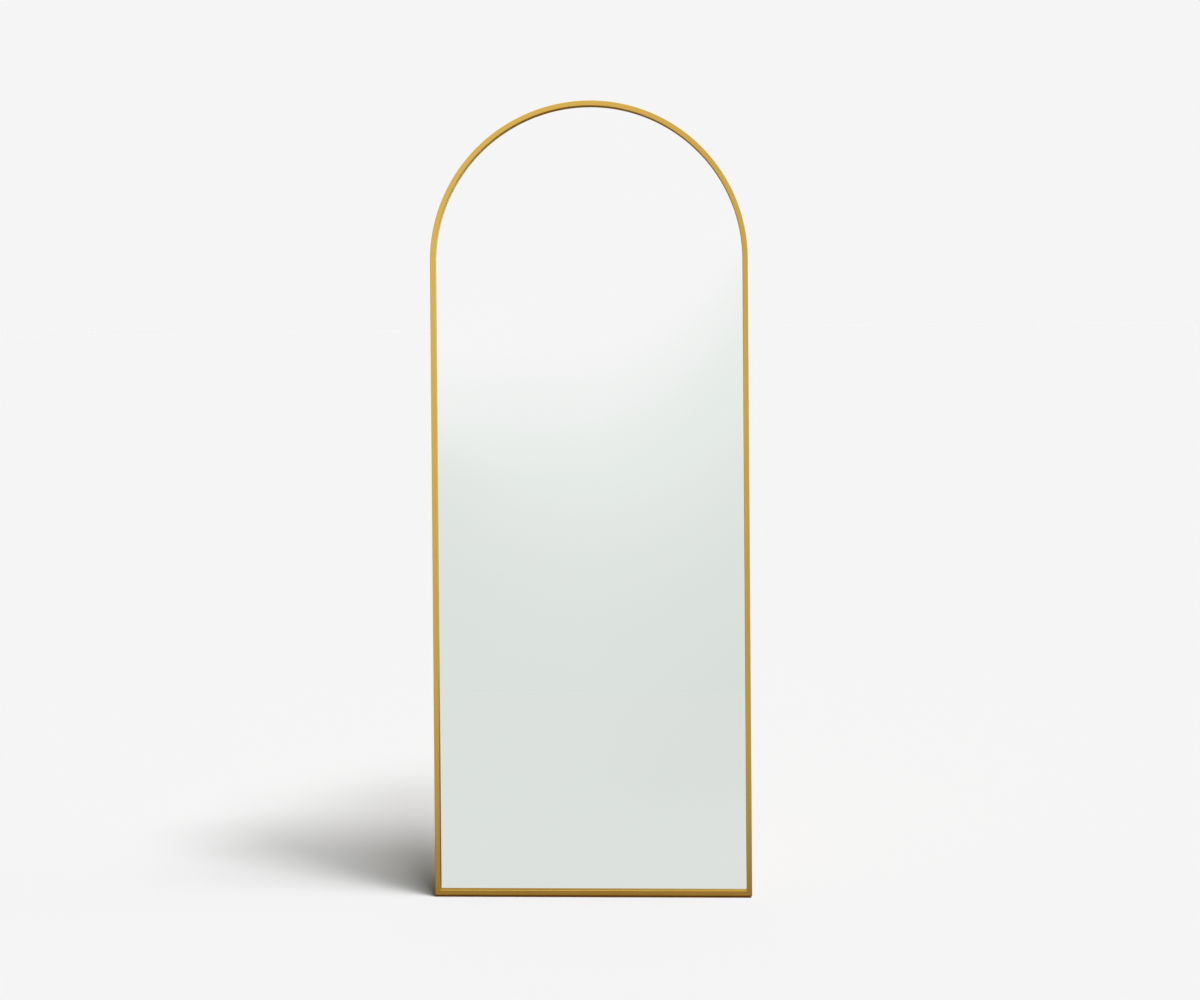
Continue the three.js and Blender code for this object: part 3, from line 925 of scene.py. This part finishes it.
def buildFastenings():
    ringSides = (-ringAxis["across"], ringAxis["across"])
    sites = {
        "clipScrews": [(x, z) for x, z, turn in clipPlaces(clip["screwAt"])],
        "battenScrews": [(x, z) for z in battenScrewRows for x in battenScrewColumns],
        "hangerScrews": [(x, ringAxis["height"] + up) for x in ringSides for up in hangerHoles],
    }
    sides, rows = ("left", "right"), ("lower", "upper")
    replaced = {
        "clipScrews": [f"edge_clip_screw_{k}" for k in range(1, 13)],
        "battenScrews": [f"{row}_batten_screw_{k}" for row in reversed(rows) for k in (1, 2, 3)],
        "hangerScrews": [f"hanger_screw_{side}_{row}" for side in sides for row in rows],
    }
    for name, sizes in fastenings.items():
        master = panScrew(sizes["length"], sizes["radius"], sizes["head"])
        places = [(x, sizes["depth"], z, 0.0) for x, z in sites[name]]
        mesh = scatter(name, master, places, "zincPlate", screws["anyTurn"])
        settle(name, mesh, replaced[name])
    places = [(x, 0.0, z, turn) for x, z, turn in clipPlaces(0.0)]
    mesh = scatter("edgeClips", clipBlank(), places, "zincPlate")
    settle("edgeClips", mesh, [f"edge_clip_{k}" for k in range(1, 13)], 20.0)


buildFastenings()
print("clips and screws: set")


# The hangers are folded straps, and wire rings that swing in them.
hanger = {
    "width": 18.0,
    "top": 52.0,
    "sheet": 1.5,
    "eye": 2.6,
    "seam": 0.12,  # gap between the two layers of the fold
    "holeRadius": 2.45,
    "bottom": -9.0,  # clear of the fold
    "frontDepths": (-6.0, 6.0),  # where the outline and the holes are cut, clear of the strap
    "holeDepths": (-6.0, 2.0),
    "brokenEdge": 0.2,
    "wire": 2.2,
    "halfWidth": 16.0,
    "corner": 4.0,
    "arm": 18.0,
    "wireSides": 22,
    "jointGap": 0.5,
}


def foldedSide():
    # (depth, height) outline of one sheet folded round the eye, with its layers almost touching
    eye, sheet, seam, top = hanger["eye"], hanger["sheet"], hanger["seam"], hanger["top"]
    outer = eye + sheet
    meet = acos((2 * sheet - outer) / outer)
    start = acos((seam - eye) / eye)
    outside = arc(outer, pi, pi + meet, 30)
    inside = arc(eye, start, -pi - start, 30)
    return [(-outer, top), *outside, (2 * sheet - outer, top), (seam - eye, top), *inside, (-eye, top)]


def buildStraps():
    half, top, bottom = hanger["width"] / 2, hanger["top"], hanger["bottom"]
    front = [(-half, bottom), (half, bottom), *arc(half, 0, pi, 28, (0, top - half))]
    blank = sideways("strap", foldedSide(), hanger["width"] + 2)
    common = backwards("strapFront", front, *hanger["frontDepths"])
    holes = [plug(hanger["holeRadius"], *hanger["holeDepths"], (0, height)) for height in hangerHoles]
    strap = carve(blank, holes, common, edge=hanger["brokenEdge"])
    mesh = scatter("hangerStraps", strap, bothSides(**ringAxis), "zincPlate")
    settle("hangerStraps", mesh, ["hanger_strap_left", "hanger_strap_right"], 20.0)


def ringLine():
    wide, corner, arm, gap = hanger["halfWidth"], hanger["corner"], hanger["arm"], hanger["jointGap"] / 2
    right = [(gap, 0), *arc(corner, pi / 2, -pi / 2, 8, (wide - corner, -corner))]
    right += arc(wide, 0, -pi / 2, 20, (0, -arm))
    left = [(-x, z) for x, z in reversed(right[:-1])]
    return [(x, 0, z) for x, z in right + left]


def buildRings():
    for side in ("left", "right"):
        line = lineObject("ringLine", [ringLine()], False)
        mesh = grow(side + "Ring", bentWire, {
            "Line": line,
            "Radius": hanger["wire"],
            "Sides": hanger["wireSides"],
            "Finish": finishes["zincPlate"],
        })
        drop(line)
        plumb = Matrix.Translation(hinges[side + "_ring_swing"]) @ Matrix.Scale(millimetre, 4)
        settle(side + "Ring", mesh, ["hanger_ring_" + side], 50.0, side + "_ring", plumb)


buildStraps()
buildRings()
print("hangers: hung")


rubber = {
    "bumperRadius": 11.0,
    "bumperTop": 7.5,
    "bumperHeight": 11.0,
    "bumperFront": 26.2,
    "bumperX": 90.0,
    "bumperInset": 26.0,
    # the bumper's outline: inside its radius, outside its top, then by radius, each with a depth
    "rim": ((0.4, 0.0), (0.1, 0.15), (0.0, 0.5), (0.0, 1.2), (0.12, 1.7)),
    "shoulder": ((1.6, -1.6), (1.2, -0.75), (0.6, -0.2), (0.0, 0.0)),
    "groove": ((5.3, 0.0), (5.1, -0.25), (4.7, -0.25), (4.5, 0.0), (0, 0.0)),
    "footX": 300.0,
    "footLength": 50.0,
    "footDepths": (15.0, 29.0),
    "footRear": 1.4,
    "footTop": -0.3,
    "brokenEdge": 0.35,
}


def buildRubber():
    base, tip = rubber["bumperRadius"], rubber["bumperTop"]
    high, front = rubber["bumperHeight"], rubber["bumperFront"]
    outline = [(0, 0), *((base - inside, depth) for inside, depth in rubber["rim"])]
    outline += [(tip + outside, high + depth) for outside, depth in rubber["shoulder"]]
    outline += [(radius, high + depth) for radius, depth in rubber["groove"]]
    button = turned("bumper", [(radius, front + depth) for radius, depth in outline], 48)
    reach = profile["width"] / 2 - rubber["bumperInset"]
    height = profile["height"] - profile["width"] / 2 + sqrt(reach ** 2 - rubber["bumperX"] ** 2)
    mesh = scatter("wallBumpers", button, bothSides(rubber["bumperX"], height=height), "blackRubber")
    settle("wallBumpers", mesh, ["wall_bumper_left", "wall_bumper_right"])
    (near, far), top = rubber["footDepths"], rubber["footTop"]
    rear = top - rubber["footRear"]
    side = [(near, top), (near, rear - (far - near) * tan(lean)), (far, rear), (far, top)]
    wedge = carve(sideways("wedge", side, rubber["footLength"]), edge=rubber["brokenEdge"])
    mesh = scatter("footPads", wedge, bothSides(rubber["footX"]), "blackRubber")
    settle("footPads", mesh, ["foot_pad_left", "foot_pad_right"], 20.0)


buildRubber()
print("rubber: bumpers and feet")


# These nodes keep their own shapes, and only get a finish.
for finish, nodes in {
    "paleFoam": ["cushion_sheet"],
    "fibreboard": ["back_board"],
    "planedPine": ["upper_batten", "lower_batten"],
    "blackRubber": ["setting_block_left", "setting_block_right"],
    "castZinc": ["corner_key_left", "corner_key_right"],
    "zincPlate": [f"key_screw_{side}_{leg}" for side in ("left", "right") for leg in ("upright", "rail")],
}.items():
    for node in nodes:
        for materialSlot in frame["nodes"][node].material_slots:
            materialSlot.material = finishes[finish]
print("carried-over nodes: finished")


# The floor, the lamps and what stands round them. All angles are in degrees.
studio = {
    "white": 0.913,  # how light the floor and the background look
    "floorColour": 0.878,
    "floorRadius": 60.0,
    # a row of key lights: azimuth in front of +X, elevation, and share of the light on the floor
    "keyRow": (
        (-6.0, 46.0, 0.028),
        (1.6, 66.2, 0.244),
        (22.2, 64.6, 0.370),
        (42.8, 62.9, 0.148),
        (63.4, 61.3, 0.129),
    ),
    "keyAngle": 11.0,
    "topAngle": 100.0,
    "topTint": (0.90, 1.0, 0.81),
    "backFill": {"azimuth": 62.0, "elevation": 32.0, "strength": 1.2, "angle": 100.0},
}


def sunTowards(name, azimuth, elevation, strength, angle, colour=(1, 1, 1)):
    # azimuth in degrees from +X towards +Y
    lamp = bpy.data.lights.new(name, "SUN")
    lamp.energy, lamp.angle, lamp.color = strength, radians(angle), colour
    made = newObject(name, lamp)
    a, e = radians(azimuth), radians(elevation)
    towards = Vector((cos(e) * cos(a), cos(e) * sin(a), sin(e)))
    made.rotation_mode = "QUATERNION"
    made.rotation_quaternion = towards.to_track_quat("Z", "Y")
    return made


def buildLights():
    level = studio["white"] / studio["floorColour"] * pi
    key = sum(share for azimuth, elevation, share in studio["keyRow"])
    keyColour = [(1 - (1 - key) * c) / key for c in studio["topTint"]]
    keys = []
    for k, (azimuth, elevation, share) in enumerate(studio["keyRow"], 1):
        strength = level * share / sin(radians(elevation))
        keys.append(sunTowards(f"keyLight{k}", -azimuth, elevation, strength, studio["keyAngle"], keyColour))
    top = sunTowards("topLight", 0, 90, level * (1 - key), studio["topAngle"], studio["topTint"])
    return keys, top, sunTowards("backFill", **studio["backFill"])


# What the glass and the brushed metal see. "turn" is measured sideways from straight ahead of the mirror,
# "rise" up from the horizon, and "gap" in metres along the floor from the mirror's foot.
# Four numbers are a fade: from and to, and the values at both ends.
reflections = {
    "ahead": (10.0, 28.0, 1.0, 0.0),
    "inFront": -0.5,  # what lies further forward than this is in front of the mirror
    "paleMiddle": -3.3,  # the first step is lowest here, and bends up on both sides
    "paleBend": 0.10,
    "paleMost": 3.5,
    "paleRise": (-10.0, 15.0),
    "pale": (
        (0.0, (0.878, 0.881, 0.879, 1)),
        (0.372, (0.904, 0.907, 0.904, 1)),
        (0.468, (0.916, 0.917, 0.914, 1)),
        (0.54, (0.944, 0.943, 0.941, 1)),
        (0.58, (0.966, 0.962, 0.962, 1)),
        (0.638, (1.0, 1.0, 1.0, 1)),
    ),
    "brightFrom": -3.9,  # the second step bends up on the right of this
    "brightBend": 0.115,
    "brightMost": 4.5,
    "brightRise": (6.0, 10.0),
    "bright": (1.156, 1.100, 1.141, 1),
    "dimRise": (-0.5, 5.0, 1.0, 0.0),
    "dimTurn": (-6.2, 9.0, -0.016, 0.067),
    # the floor in the glass: a touch of painted black, more to the right and further from the foot, a painted
    # shade in the glass's reflection
    "dimFloorGap": (0.8, 5.0),
    "dimFloorTurn": (-4.2, 1.4, 0.007, 0.029),
    # brushed metal gathers the surroundings softly, paler and deeper by turns from left to right
    "satinAcross": (
        (0.0, (0.50, 0.50, 0.50, 1)),
        (0.18, (0.60, 0.60, 0.59, 1)),
        (0.29, (1.27, 1.33, 1.33, 1)),
        (0.34, (1.30, 1.36, 1.36, 1)),
        (0.61, (0.67, 0.60, 0.50, 1)),
        (0.67, (0.70, 0.65, 0.56, 1)),
        (0.80, (1.10, 1.08, 1.02, 1)),
        (1.0, (1.25, 1.25, 1.25, 1)),
    ),
    # the floor as brushed metal sees it: a painted dark brown, strongest near the mirror's foot, which paints
    # shade on the frame's lower part
    "satinFloor": (0.25, 0.148, 0.07, 1),
    "satinFloorGap": (0.15, 2.6, 1.0, 0.35),
    # the frame's inner walls see them by way of the glass
    "wallsSide": (-0.1, 0.2),
    "wallsAcross": (
        (0.0, (0.55, 0.40, 0.20, 1)),
        (0.33, (0.60, 0.45, 0.25, 1)),
        (0.75, (1.50, 1.45, 1.30, 1)),
    ),
    # the floor in front, as the inner walls see it by way of the glass: a painted dark brown, which paints
    # shade on the inner walls
    "wallsFloor": (0.26, 0.155, 0.045, 1),
}


def satinRays(ray):
    # what brushed metal sees, and within it what it sees after one more reflection
    twice = ray["Is Glossy Ray"] * ray["Glossy Depth"].maths("GREATER_THAN", 1.5)
    return ray["Is Glossy Ray"] * (1 - ray["Is Singular Ray"] * (1 - twice)), twice


def turnFromAhead(x, y):
    return x.maths("ARCTAN2", 0 - y) * degrees(1)


def straightAhead(sheet, turn):
    # 1 in front of the mirror, fading to 0 at the sides
    return sheet.spread(turn.maths("ABSOLUTE"), *reflections["ahead"])


def buildFloor():
    shape = bmesh.new()
    bmesh.ops.create_circle(shape, cap_ends=True, radius=studio["floorRadius"], segments=96)
    floor = newObject("studioFloor", fromBmesh("studioFloor", shape))
    made = bpy.data.materials.new("studioFloor")
    made.use_nodes = True
    sheet = NodeSheet(made.node_tree)
    made.node_tree.nodes.clear()
    ray = sheet.node("ShaderNodeLightPath")
    plain = [studio["floorColour"]] * 3 + [1]
    satin, twice = satinRays(ray)
    where = sheet.objectPlace()
    gap = sheet.node("ShaderNodeVectorMath", {"operation": "LENGTH"}, {0: where})["Value"]
    axes = sheet.axes(where)
    turn = turnFromAhead(axes[0], axes[1])
    inFront = axes[1].maths("LESS_THAN", reflections["inFront"])
    glassRays = ray["Is Glossy Ray"] * (1 - satin) * straightAhead(sheet, turn)
    inGlass = glassRays * sheet.spread(gap, *reflections["dimFloorGap"])
    shader = sheet.node("ShaderNodeBsdfDiffuse", None, {"Color": plain})[0]
    # Besides its plain colour, the floor glows with painted shades that only reflected rays see.
    for factor, colour in (
        # painted dark brown for brushed metal, near the foot: painted shade on the frame's lower part
        (satin * sheet.spread(gap, *reflections["satinFloorGap"]), reflections["satinFloor"]),
        # painted dark brown in front, seen by the inner walls through the glass: painted shade on the walls
        (twice * inFront, reflections["wallsFloor"]),
        # painted black, more to the right, seen in the glass: painted shade in its reflection
        (inGlass * sheet.spread(turn, *reflections["dimFloorTurn"]), (0, 0, 0, 1)),
    ):
        look = sheet.node("ShaderNodeEmission", None, {"Color": colour, "Strength": 1.0})[0]
        shader = sheet.node("ShaderNodeMixShader", None, {0: factor, 1: shader, 2: look})[0]
    sheet.node("ShaderNodeOutputMaterial", None, {"Surface": shader})
    floor.data.materials.append(made)
    floor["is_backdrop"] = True
    return floor


def inTheGlass(sheet, turn, rise):
    # a pale room that brightens upwards in two steps, and is a touch darker low on the right
    ahead = straightAhead(sheet, turn)
    aside = turn - reflections["paleMiddle"]
    paleLag = (aside * aside * reflections["paleBend"]).maths("MINIMUM", reflections["paleMost"]) * ahead
    pale = sheet.ramp(sheet.spread(rise - paleLag, *reflections["paleRise"]), reflections["pale"])
    right = (turn - reflections["brightFrom"]).maths("MAXIMUM", 0.0)
    brightLag = (right * right * reflections["brightBend"]).maths("MINIMUM", reflections["brightMost"])
    bright = sheet.spread(rise - brightLag, *reflections["brightRise"])
    upper = sheet.mix(bright, (1, 1, 1, 1), reflections["bright"])
    dim = sheet.spread(rise, *reflections["dimRise"]) * sheet.spread(turn, *reflections["dimTurn"]) * ahead
    return sheet.mix(dim, sheet.mix(1.0, pale, upper, "MULTIPLY"), (0, 0, 0, 1))


def buildWorld():
    world = bpy.data.worlds.new("studio")
    scene.world = world
    world.use_nodes = True
    sheet = NodeSheet(world.node_tree)
    world.node_tree.nodes.clear()
    ray = sheet.node("ShaderNodeLightPath")
    axes = sheet.axes(sheet.node("ShaderNodeTexCoord")["Generated"])
    x, y = axes[0], axes[1]
    reflected = inTheGlass(sheet, turnFromAhead(x, y), axes[2].maths("ARCSINE") * degrees(1))
    satin, twice = satinRays(ray)
    across = sheet.ramp(sheet.spread(x, -1.0, 1.0), reflections["satinAcross"])
    walls = sheet.ramp(sheet.spread(x, *reflections["wallsSide"]), reflections["wallsAcross"])
    across = sheet.mix(twice * y.maths("LESS_THAN", reflections["inFront"]), across, walls)
    reflected = sheet.mix(satin, reflected, sheet.mix(1.0, reflected, across, "MULTIPLY"))
    white = [studio["white"]] * 3 + [1]
    seen = sheet.mix(ray["Is Camera Ray"], reflected, white)
    looks = ray["Is Camera Ray"] + ray["Is Glossy Ray"] + ray["Is Transmission Ray"]
    colour = sheet.mix((looks - ray["Diffuse Depth"]).clamped(), (0, 0, 0, 1), seen)
    background = sheet.node("ShaderNodeBackground", None, {"Color": colour, "Strength": 1.0})[0]
    sheet.node("ShaderNodeOutputWorld", None, {"Surface": background})
    world.cycles.sampling_method = "NONE"


floor = buildFloor()
keyLights, topLight, backFill = buildLights()
buildWorld()


def grouped(name, objects, exclude=False):
    made = bpy.data.collections.new(name)
    for member in objects:
        made.objects.link(member)
    if exclude:
        for link in made.collection_objects:
            link.light_linking.link_state = "EXCLUDE"
    return made


def linkLights():
    # The glass takes no lamp, or it would throw bright patches on the floor: it shows the surroundings.
    # The brass takes no key light, or its arch would glint where the photo's doesn't.
    # The top light throws no shadow, and the fill lights only the object, so the key's shadow stays.
    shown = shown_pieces()
    panes = [piece for piece in shown if piece.name == "mirrorGlass"]
    brassBars = [piece for piece in shown if piece.name in ("archFrame", "bottomRail")]
    notTheGlass = grouped("notTheGlass", panes, exclude=True)
    notTheFront = grouped("notTheFront", panes + brassBars, exclude=True)
    for lamp in keyLights:
        lamp.light_linking.receiver_collection = notTheFront
    topLight.light_linking.receiver_collection = notTheGlass
    topLight.light_linking.blocker_collection = grouped("floorOnly", [floor])
    backFill.light_linking.receiver_collection = grouped("objectPieces", [p for p in shown if p not in panes])


linkLights()
print("floor, lights and surroundings: set")


view = {
    "place": (0.2454, -4.4596, 1.4654),
    "lens": 56.10,
    "yaw": 2.8365,
    "pitch": 0.6288,
    "roll": -0.4355,
}


def buildCamera():
    # the turns are those between the mirror's own plane and the picture
    plane = Matrix(((1, 0, 0), (0, -sin(lean), cos(lean)), (0, -cos(lean), -sin(lean))))
    axes = {"roll": "Z", "pitch": "X", "yaw": "Y"}
    turns = [Matrix.Rotation(radians(view[name]), 3, axis) for name, axis in axes.items()]
    seen = plane @ (turns[0] @ turns[1] @ turns[2]).transposed()
    right, down, ahead = seen.col
    facing = Matrix((right, -down, -ahead)).transposed()
    lensData = bpy.data.cameras.new("camera")
    lensData.lens, lensData.sensor_width = view["lens"], 36.0
    made = newObject("camera", lensData)
    made.matrix_world = Matrix.Translation(view["place"]) @ facing.to_4x4()
    scene.camera = made


buildCamera()
scene.view_settings.view_transform = "Standard"
print("camera: set")
